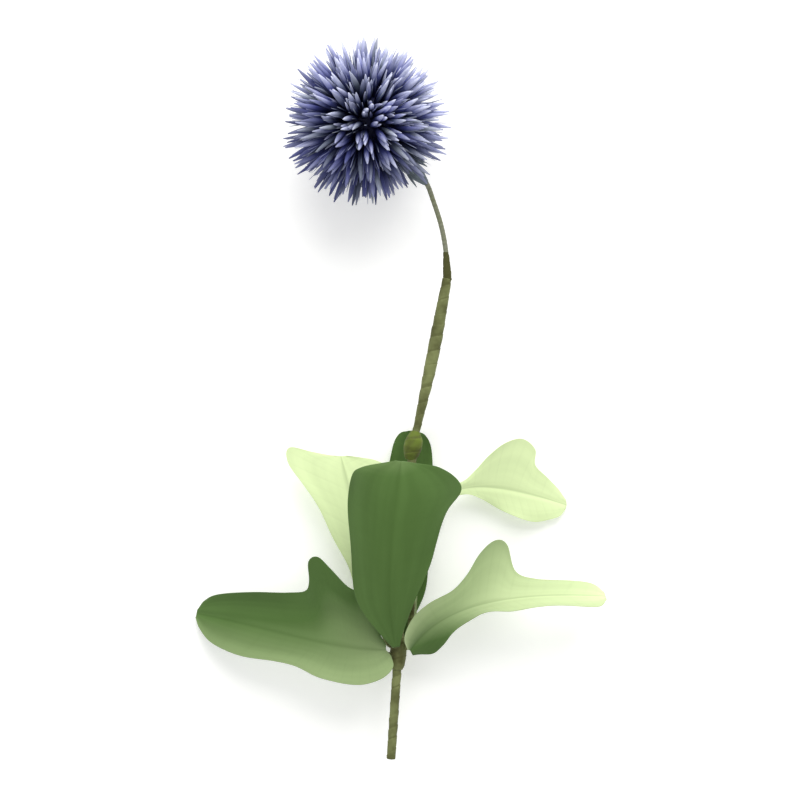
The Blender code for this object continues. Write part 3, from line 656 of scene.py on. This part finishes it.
def spikes(roots, middles, tips, radius, profile, sides):
    """Many spikes at once. Each follows the quadratic curve from its root by its middle to its tip. Its
    radius is radius times the profile, spread evenly along it, and poles close both of its ends. Returns
    points, faces and each point's share along its spike."""
    count = len(roots)
    t = np.linspace(0, 1, len(profile))[None, :, None]
    path = roots[:, None] * (1 - t) ** 2 + middles[:, None] * 2 * t * (1 - t) + tips[:, None] * t**2
    way = unit((middles - roots)[:, None] * (1 - t) + (tips - middles)[:, None] * t)
    side = unit(np.cross(way, unit(np.cross(roots, (0.31, 0.52, 0.80)))[:, None]))
    up = np.cross(side, way)
    angle = np.linspace(0, 2 * np.pi, sides, endpoint=False)[None, None, :, None]
    reach = (radius[:, None] * np.asarray(profile))[:, :, None, None]
    rings = path[:, :, None] + reach * (np.cos(angle) * side[:, :, None] + np.sin(angle) * up[:, :, None])
    points = np.concatenate((rings.reshape(count, -1, 3), path[:, :1], path[:, -1:]), axis=1)
    along = np.concatenate((np.repeat(t.ravel(), sides), (0, 1)))
    shift = np.arange(count)[:, None, None] * points.shape[1]
    quads = (grid_quads(len(profile), sides) + shift).reshape(-1, 4)
    fans = (end_fans(len(profile), sides) + shift).reshape(-1, 3)
    return points.reshape(-1, 3), [quads, fans], np.tile(along, count)


def joined(*parts):
    """Several (points, faces, values) as one. values has a row for each point."""
    points, faces, values = zip(*parts)
    offsets = np.cumsum([0] + [len(rows) for rows in points[:-1]])
    shifted = [block + offset for blocks, offset in zip(faces, offsets) for block in blocks]
    return np.vstack(points), shifted, np.vstack(values)


def clumped(way, clumps, pull):
    """Directions moved a share of the way to the nearest clump's."""
    nearest = clumps[np.argmax(way @ clumps.T, axis=1)]
    return unit(way + (nearest - way) * pull)


def clump_directions(count, rng):
    """Evenly spread directions with a little scatter, each a golden angle on from the last and a step
    further down the ball."""
    place = np.arange(count) + 0.5
    height = 1 - 2 * place / count
    angle = place * np.pi * (3 - np.sqrt(5))
    flat = np.sqrt(1 - height**2)
    even = np.stack((flat * np.cos(angle), flat * np.sin(angle), height), axis=1)
    return unit(even + rng.normal(0, CLUMP_SCATTER, even.shape))


def beside(way, lean, rng):
    """Directions that lean from the given ones by an angle between the two of lean, each to its own side."""
    side = unit(np.cross(way, rng.normal(0, 1, way.shape)))
    return unit(way + side * rng.uniform(*lean, (len(way), 1)))


def florets(foot, way, reach, wide, bow, rng):
    """Florets from the core, in each foot's direction, to a point at each reach along each way, or to just
    above the surface. Their values are the share along, the tint, where 0 is blue and 1 sage, and a random
    paleness plus painted light, larger for florets that face the side the light falls on."""
    count = len(way)
    reach = np.minimum(reach, REST_REACH / np.maximum(-way[:, 2:], 0.1))
    roots = unit(foot + rng.normal(0, ROOT_SCATTER, (count, 3))) * (CORE_RADIUS - FLORET_DEPTH)
    tips = way * reach
    lean = rng.normal(0, 1, (count, 3)) * bow
    middles = (roots + tips) / 2 + lean - way * np.sum(lean * way, axis=1, keepdims=True)
    shape, faces, along = spikes(roots, middles, tips, wide, FLORET_PROFILE, FLORET_SIDES)
    is_sage = rng.random(count) < SAGE_SHARE
    sage = np.where(is_sage, rng.uniform(0.5, 1.0, count), rng.uniform(0.0, 0.4, count))
    # Painted light: how far each floret faces the side the light falls on
    side = (0.5 + 0.5 * way @ unit(np.array(LIT_SIDE_WAY))) ** 1.5
    fade = np.clip(rng.random(count) ** 1.2 * (0.25 + 1.3 * side) + 0.4 * side, 0, 1)
    each = len(shape) // count
    return shape, faces, np.stack((along, np.repeat(sage, each), np.repeat(fade, each)), axis=1)


def floret_group(node, head, clumps, rng):
    """The florets of one CAD node, each from the core to its tip, with a shorter floret and a thin bristle
    beside each."""
    tips = tips_of(node)
    count = len(tips)
    reach = np.linalg.norm(tips, axis=1, keepdims=True)
    way = unit(tips)
    bow = head.floret_bow / MM / 2
    wide = head.floret_radius / MM
    aim = clumped(unit(way + rng.normal(0, AIM_SCATTER, way.shape)), clumps, CLUMP_PULL)
    length = reach * (1.01 - 0.17 * rng.random((count, 1)) ** 2)
    tall = florets(way, aim, length, wide * rng.uniform(*TALL_WIDTH, count), bow, rng)
    foot = beside(way, SHORT_LEAN, rng)
    aim = clumped(foot, clumps, CLUMP_PULL)
    length = reach * rng.uniform(*SHORT_REACH, (count, 1))
    short = florets(foot, aim, length, wide * rng.uniform(*SHORT_WIDTH, count), bow, rng)

    aim = beside(way, BRISTLE_LEAN, rng)
    end = aim * reach * rng.uniform(*BRISTLE_REACH, (count, 1))
    start = aim * (CORE_RADIUS - BRISTLE_DEPTH)
    middle = (start + end) / 2 + rng.normal(0, 0.4, (count, 3))
    thin = head.bristle_radius / MM * rng.uniform(0.8, 1.2, count)
    shape, faces, along = spikes(start, middle, end, thin, BRISTLE_PROFILE, BRISTLE_SIDES)
    sage = np.repeat(rng.uniform(0.4, 1.0, count), len(shape) // count)
    return joined(tall, short, (shape, faces, np.stack((along * 0.85, sage, along * 0.5), axis=1)))


def add_head_piece(name, shape, finish, nodes):
    """A piece from its points in millimetres from the head's centre, its faces, and its values along, tint
    and the random paleness with painted light."""
    points, faces, values = shape
    values = dict(zip(("along", "tint", "fade"), values.T))
    add_piece(name, placed(HEAD_CENTRE) + points * MM, faces, finish, nodes, values)


def hub():
    """The ball that the florets stand on, with shallow sockets: its radius is scaled by 1 less a product of
    two sines. It is painted near black, as a floret's root is, as painted shade deep inside the head."""
    places = np.linspace(0, np.pi, HUB_ROWS + 2)[1:-1]
    angle = np.linspace(0, 2 * np.pi, HUB_COLUMNS, endpoint=False)
    down, round_it = HUB_WAVES
    wave = 1 - HUB_WAVE * np.sin(down * places)[:, None] * np.sin(round_it * angle)
    path = HEAD_TO_STEM * -np.cos(places)[:, None] * HUB_RADIUS
    points, faces = tube_surface(path, np.sin(places)[:, None] * HUB_RADIUS * wave)
    return points, faces, np.tile(HUB_VALUES, (len(points), 1))


class BuildFlorets(bpy.types.Operator):
    """Build the head's hub, and the florets and bristles on it, one piece for each ring of florets"""

    bl_idname = "thistle.florets"
    bl_label = "Florets"

    def execute(self, context):
        head = context.scene.thistle_head
        rng = np.random.default_rng(FLORET_SEED)
        finish = floret_finish(head)
        clumps = clump_directions(CLUMP_COUNT, rng)
        nodes = sorted(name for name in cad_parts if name.startswith("floret_"))
        add_head_piece("head_hub", hub(), finish, nodes)
        for node in nodes:
            group = floret_group(node, head, clumps, rng)
            add_head_piece(node.replace("floret", "florets"), group, finish, [node])
        return {"FINISHED"}


def sleeve():
    """The collar's ribbed skin: its radius is scaled by 1 plus a cosine that turns once for each rib."""
    start, end = COLLAR_SPAN
    places = np.linspace(start, end, COLLAR_ROWS)
    swell = np.interp((places - start) / (end - start), *COLLAR_SWELL)
    angle = np.linspace(0, 2 * np.pi, COLLAR_COLUMNS, endpoint=False)
    radii = swell[:, None] * (1 + COLLAR_RIB_HEIGHT * np.cos(COLLAR_RIBS * angle))
    points, faces = tube_surface(HEAD_TO_STEM * places[:, None], radii)
    return points, faces, np.tile(COLLAR_VALUES, (len(points), 1))


def bracts(rng):
    """Small spikes round the collar that lean out and back along the stem."""
    side = unit(np.cross(HEAD_TO_STEM, (0.0, 0.0, 1.0)))
    up = np.cross(side, HEAD_TO_STEM)
    turn = np.arange(BRACT_COUNT) * 2 * np.pi / BRACT_COUNT + rng.uniform(-0.1, 0.1, BRACT_COUNT)
    out = np.cos(turn)[:, None] * side + np.sin(turn)[:, None] * up
    foot_lift, middle_lift, tip_lift = BRACT_LIFT
    foot = rng.uniform(*BRACT_FOOT, (BRACT_COUNT, 1))
    roots = HEAD_TO_STEM * foot + out * foot_lift
    middles = HEAD_TO_STEM * (foot + BRACT_MIDDLE) + out * middle_lift
    tips = HEAD_TO_STEM * (foot + rng.uniform(*BRACT_LENGTH, (BRACT_COUNT, 1)))
    tips = tips + out * rng.uniform(*tip_lift, (BRACT_COUNT, 1))
    wide = np.full(BRACT_COUNT, BRACT_RADIUS)
    shape, faces, along = spikes(roots, middles, tips, wide, FLORET_PROFILE, BRACT_SIDES)
    return shape, faces, np.stack((along * 0.3 + 0.6, 0.9 + 0 * along, 0.3 + 0 * along), axis=1)


class BuildCollar(bpy.types.Operator):
    """Build the ribbed collar where the stem enters the head, with its swept-back bracts"""

    bl_idname = "thistle.collar"
    bl_label = "Collar"

    def execute(self, context):
        finish = collar_finish(context.scene.thistle_head)
        shape = joined(sleeve(), bracts(np.random.default_rng(COLLAR_SEED)))
        add_head_piece("collar", shape, finish, ["calyx_collar"])
        return {"FINISHED"}


# ---- Stem and stalk ----


def add_wound(name, route, radius, stem, finish, slot, node, columns=32, end=0.3, pitch=1.0, step=1.0):
    """A taped stem along a route in millimetres. radius gives the radius at each share of its length, and
    pitch and step scale the tape's own. Its winding attribute is the share of the tape's turn."""
    path, places = even_path(route)
    pitch = stem.tape_pitch / MM * pitch
    step = stem.tape_step / MM * step
    plain = rounded(places, radius(places / places[-1]), end)
    radii = wound(places, plain, columns, pitch, step)
    points, faces = tube_surface(path, radii)
    winding = (1 - (plain[:, None] - radii) / step).ravel()
    winding = np.concatenate((1 - np.clip(winding, 0, 1), (0, 0)))
    add_piece(name, placed(points), faces, finish, [node], {"winding": winding})


def level(*stops):
    """A function of the share along a stem, from (share, radius) stops."""
    places, radii = zip(*stops)
    return lambda share: np.interp(share, places, radii)


class BuildStem(bpy.types.Operator):
    """Build the thin stem of the head and the taped sleeve at its foot"""

    bl_idname = "thistle.stem"
    bl_label = "Head stem"

    def execute(self, context):
        stem = context.scene.thistle_stem
        centre = np.array(HEAD_CENTRE)
        start, end = COLLAR_SPAN
        route = [centre + HEAD_TO_STEM * reach for reach in (start, 0.8 * end, end)]
        route += [*STEM_BEND, SLEEVE_TOP, STALK_TOP]
        radius = stem.stem_radius / MM
        plain = level((0, radius), (0.2, radius), (0.5, radius * 0.92), (1, radius))
        finish = stem_finish(stem)
        lay = {"columns": 20, "end": 0.2, "pitch": 0.35, "step": 0.35}
        add_wound("head_stem_wrap", route, plain, stem, finish, "stem", "head_stem", **lay)
        width = level((0, 0.76), (0.3, 0.95), (0.75, 1.18), (1, 1.12))
        finish = tape_finish("sleeve_tape", stem, stem.dark_tape_and_shade)
        foot = np.array(STALK_TOP) * (1 + SLEEVE_OVERLAP) - np.array(SLEEVE_TOP) * SLEEVE_OVERLAP
        lay = {"columns": 28, "pitch": 0.6}
        add_wound("sleeve_tape", (SLEEVE_TOP, foot), width, stem, finish, "tape", "stem_sleeve", **lay)
        return {"FINISHED"}


class BuildStalk(bpy.types.Operator):
    """Build the taped stalk, its swelling, the tape that binds the leaves and the cut end"""

    bl_idname = "thistle.stalk"
    bl_label = "Stalk"

    def execute(self, context):
        stem = context.scene.thistle_stem
        tape = tape_finish("stalk_tape", stem, stem.tape_colour)
        top, node = np.array(STALK_TOP), np.array(NODE_CENTRE)
        bow = (top + node) / 2 + STALK_BOW
        upper = level((0, 1.22), (0.10, 1.42), (0.35, 1.72), (0.55, 1.66), (0.85, 1.1), (1, 1.0))
        add_wound("stalk_upper_tape", (top, bow, node), upper, stem, tape, "tape", "stalk_upper", end=0.5)
        up = unit(top - node) * NODE_HALF_LENGTH
        swelling = level((0, 1.1), (0.12, 1.6), (0.3, 2.3), (0.55, 2.5), (0.8, 2.1), (1, 1.3))
        finish = tape_finish("node_tape", stem, stem.node_colour)
        route = (node + up, node, node - up)
        add_wound("node_tape", route, swelling, stem, finish, "node", "stalk_node", columns=48)
        lower = level((0, 1.25), (0.4, 1.2), (0.9, 1.25), (1, 1.22))
        add_wound("stalk_lower_tape", (node, (0, 0, 0), CUT_END), lower, stem, tape, "tape", "stalk_lower")
        along = unit(node - CUT_END) * BINDING_LENGTH / 2
        barrel = level((0, 1.5), (0.15, 2.0), (0.5, BINDING_RADIUS), (0.85, 1.95), (1, 1.45))
        route = (along, (0, 0, 0), -along)
        add_wound("binding_tape", route, barrel, stem, tape, "tape", "leaf_binding", columns=44)
        return {"FINISHED"}


def petiole_route(leaf):
    """From the binding to the side of the blade that is nearer to the stalk: a cubic curve that leaves the
    binding square to it and meets the blade along its midrib."""
    place, way = on_bezier(leaf["spine"], np.array(PETIOLE_SHARE))
    stalk = unit(np.subtract(NODE_CENTRE, CUT_END))
    height = place @ stalk
    face = unit(np.cross(np.cross(way, leaf["faces"][0]), way))
    face = -face * np.sign(face @ (place - stalk * height))
    end = place + face * PETIOLE_DEPTH
    limit = PETIOLE_FOOT_LIMIT * BINDING_LENGTH
    foot = np.clip(height - PETIOLE_DROP, -limit, limit)
    outward = unit(end - stalk * (end @ stalk))
    start = stalk * foot + outward * (BINDING_RADIUS - PETIOLE_FOOT_DEPTH)
    leave, meet = PETIOLE_LEADS
    onward, inward = PETIOLE_OVERLAP
    curve = (start, start + outward * leave, end - way * meet, end + way * onward - face * inward)
    return on_bezier(curve, np.linspace(0, 1, PETIOLE_POINTS))[0]


class BuildPetioles(bpy.types.Operator):
    """Build the short leaf stalks between the binding and the leaves"""

    bl_idname = "thistle.petioles"
    bl_label = "Leaf stalks"

    def execute(self, context):
        stem = context.scene.thistle_stem
        finish = tape_finish("petiole_tape", stem, stem.tape_colour)
        width = level((0, 0.85), (0.5, 0.75), (0.85, 0.72), (1, 0.5))
        lay = {"columns": 18, "pitch": 0.5, "step": 0.5}
        for name, leaf in LEAVES.items():
            node = f"petiole_{name}"
            add_wound(f"{node}_tape", petiole_route(leaf), width, stem, finish, "petiole", node, **lay)
        return {"FINISHED"}


# ---- Leaves ----


def blade_points(leaf, along, reach):
    """Points of a blade's middle surface. Across, the blade is an arc about the line of its midrib, up to the
    largest angle of its fold, and then runs on straight."""
    place, way = on_bezier(leaf["spine"], along)
    faces = np.array(leaf["faces"], dtype=float)
    face = between(along, np.linspace(0, 1, len(faces)), faces)
    out = unit(np.cross(way, face))
    face = np.cross(out, way)
    radius, largest = leaf["fold"][0], np.radians(leaf["fold"][1])
    bend = np.minimum(np.abs(reach) / radius, largest)
    straight = np.abs(reach) - bend * radius
    sideways = np.sign(reach) * (np.sin(bend) * radius + straight * np.cos(bend))
    rise = (1 - np.cos(bend)) * radius + straight * np.sin(bend)
    return place + out * sideways[..., None] + face * rise[..., None]


def skin_faces(rows):
    """Quads round a blade's skin, then those that close its root and its tip."""
    columns = 2 * (BLADE_STRIPS + 1)
    step = np.arange(BLADE_STRIPS)
    root = np.stack((step + 1, step, columns - 1 - step, columns - 2 - step), axis=1)
    return [grid_quads(rows, columns), root, (rows - 1) * columns + root[:, ::-1]]


def skin_values(values):
    """Values of the blade's middle surface, for the points of its skin: the upper side's, then the lower
    side's, which run back."""
    return np.concatenate((values, values[:, ::-1]), axis=1).ravel()


def painted_light_and_shade(leaf, share, across):
    """The blade's painted light and shade, between its midrib and its edges by a power of the share across.
    """
    lines = (smooth_rows(np.array(line)[:, None], PAINTED_LIGHT_STEPS)[:, 0] for line in leaf["pale"])
    left, inner, right = (np.interp(share, np.linspace(0, 1, len(line)), line) for line in lines)
    outer = np.where(across < 0, left, right)
    return inner + (outer - inner) * np.abs(across) ** 1.3


def leaf_surface(leaf, settings, phase):
    """A thin closed skin round the blade's middle surface. Its half thickness falls to the edge as an
    ellipse does. The middle surface sinks along the midrib and the side veins, each as a bell curve, and
    waves at the edge as a sine along the blade times a power of the share across."""
    ribs = smooth_rows(leaf["ribs"], RIB_STEPS)
    across = np.sin(np.linspace(-np.pi / 2, np.pi / 2, BLADE_STRIPS + 1))[None, :]
    left = across < 0
    end = np.where(left, ribs[:, 1:2], ribs[:, 3:4])
    reach = np.where(left, ribs[:, 2:3], ribs[:, 4:5]) * across
    along = ribs[:, :1] + (end - ribs[:, :1]) * np.abs(across)
    sheet = blade_points(leaf, along, reach)
    normal = unit(np.cross(np.gradient(sheet, axis=1), np.gradient(sheet, axis=0)))
    share = np.linspace(0, 1, len(ribs))[:, None] + 0 * across
    place = share * (len(leaf["ribs"]) - 1) * VEINS_TO_A_RIB % 1.0  # from one side vein to the next
    vein = np.exp(-((place - 0.5) ** 2) / VEIN_SPREAD)
    vein = vein * np.abs(across) ** 0.5 * (1 - np.abs(across) ** 6)
    crease = np.exp(-((reach / CREASE_WIDTH) ** 2)) * settings.midrib_depth / MM
    turn = 2 * np.pi * EDGE_WAVES * share + phase + EDGE_LAG * np.sign(across)
    wave = settings.wave / MM * np.abs(across) ** 4 * np.sin(turn)
    shift = wave - crease - vein * settings.vein_depth / MM
    half = settings.thickness / MM / 2 * np.sqrt(1 - (EDGE_THINNING * across) ** 2)
    top = sheet + normal * (shift + half)[..., None]
    bottom = sheet + normal * (shift - half)[..., None]
    points = np.concatenate((top, bottom[:, ::-1]), axis=1)
    # Painted light and shade of the blade
    pale = painted_light_and_shade(leaf, share, across)
    values = {"across": across + 0 * share, "along": share, "vein": vein, "pale": pale}
    values = {name: skin_values(sheet_values) for name, sheet_values in values.items()}
    return points.reshape(-1, 3), skin_faces(len(ribs)), values


class BuildLeaves(bpy.types.Operator):
    """Build the six lobed leaves of the whorl"""

    bl_idname = "thistle.leaves"
    bl_label = "Leaves"

    def execute(self, context):
        settings = context.scene.thistle_leaf
        finish = leaf_finish(settings)
        for order, (name, leaf) in enumerate(LEAVES.items()):
            points, faces, values = leaf_surface(leaf, settings, order * LEAF_LAG)
            add_piece(f"leaf_{name}_blade", placed(points), faces, finish, [f"leaf_{name}"], values)
        return {"FINISHED"}


# ---- Stage ----


def add_light(name, place, size, power, colour):
    """A square soft light that looks at the flower."""
    light = bpy.data.lights.new(name, "AREA")
    light.size = size
    light.energy = power
    light.color = colour
    lamp = bpy.data.objects.new(name, light)
    bpy.context.collection.objects.link(lamp)
    lamp.location = place
    lamp.rotation_mode = "QUATERNION"
    lamp.rotation_quaternion = lamp.location.to_track_quat("Z", "Y")


class BuildStage(bpy.types.Operator):
    """Build the surface, the soft light and the camera that looks straight down"""

    bl_idname = "thistle.stage"
    bl_label = "Stage"

    def execute(self, context):
        stage = context.scene.thistle_stage
        mesh = bpy.data.meshes.new("floor")
        corners = np.array(((-1, -1, 0), (1, -1, 0), (1, 1, 0), (-1, 1, 0))) * FLOOR_REACH
        mesh.from_pydata(corners.tolist(), [], [(0, 1, 2, 3)])
        mesh.materials.append(floor_finish(stage))
        floor = bpy.data.objects.new("floor", mesh)
        context.collection.objects.link(floor)

        for name, (place, size, share, colour) in LIGHTS.items():
            add_light(name, place, size, stage.key_power * share, colour)
        world = bpy.data.worlds.new("studio")
        world.use_nodes = True
        background = world.node_tree.nodes["Background"]
        background.inputs["Color"].default_value = (1.0, 1.0, 1.0, 1)
        background.inputs["Strength"].default_value = stage.sky
        context.scene.world = world

        camera = bpy.data.cameras.new("camera")
        camera.lens = stage.lens
        low, high = np.array(CAD_BOX)
        view = (high[1] - low[1]) * (1 + 2 * stage.margin)
        eye = bpy.data.objects.new("camera", camera)
        eye.location = (0, 0, view * camera.lens / camera.sensor_width + high[2] / 2)
        context.collection.objects.link(eye)
        context.scene.camera = eye
        context.scene.view_settings.view_transform = "Standard"
        return {"FINISHED"}


# ---- Add-on ----


class ThistlePanel(bpy.types.Panel):
    """The flower's pieces and their settings"""

    bl_idname = "VIEW3D_PT_thistle"
    bl_label = "Globe Thistle"
    bl_space_type = "VIEW_3D"
    bl_region_type = "UI"
    bl_category = "Thistle"

    def draw(self, context):
        for group, settings in GROUPS.items():
            box = self.layout.box()
            for name in settings.__annotations__:
                box.prop(getattr(context.scene, group), name)
        for operator in OPERATORS:
            self.layout.operator(operator.bl_idname)


GROUPS = {
    "thistle_head": HeadSettings,
    "thistle_stem": StemSettings,
    "thistle_leaf": LeafSettings,
    "thistle_stage": StageSettings,
}
OPERATORS = (BuildFlorets, BuildCollar, BuildStem, BuildStalk, BuildPetioles, BuildLeaves, BuildStage)


def register():
    for part in (*GROUPS.values(), *OPERATORS, ThistlePanel):
        bpy.utils.register_class(part)
    for name, group in GROUPS.items():
        setattr(bpy.types.Scene, name, bpy.props.PointerProperty(type=group))


def unregister():
    for name in GROUPS:
        delattr(bpy.types.Scene, name)
    for part in (ThistlePanel, *reversed(OPERATORS), *reversed(GROUPS.values())):
        bpy.utils.unregister_class(part)


def main():
    register()
    for operator in OPERATORS:
        module, name = operator.bl_idname.split(".")
        getattr(getattr(bpy.ops, module), name)()


if __name__ == "__main__":
    main()
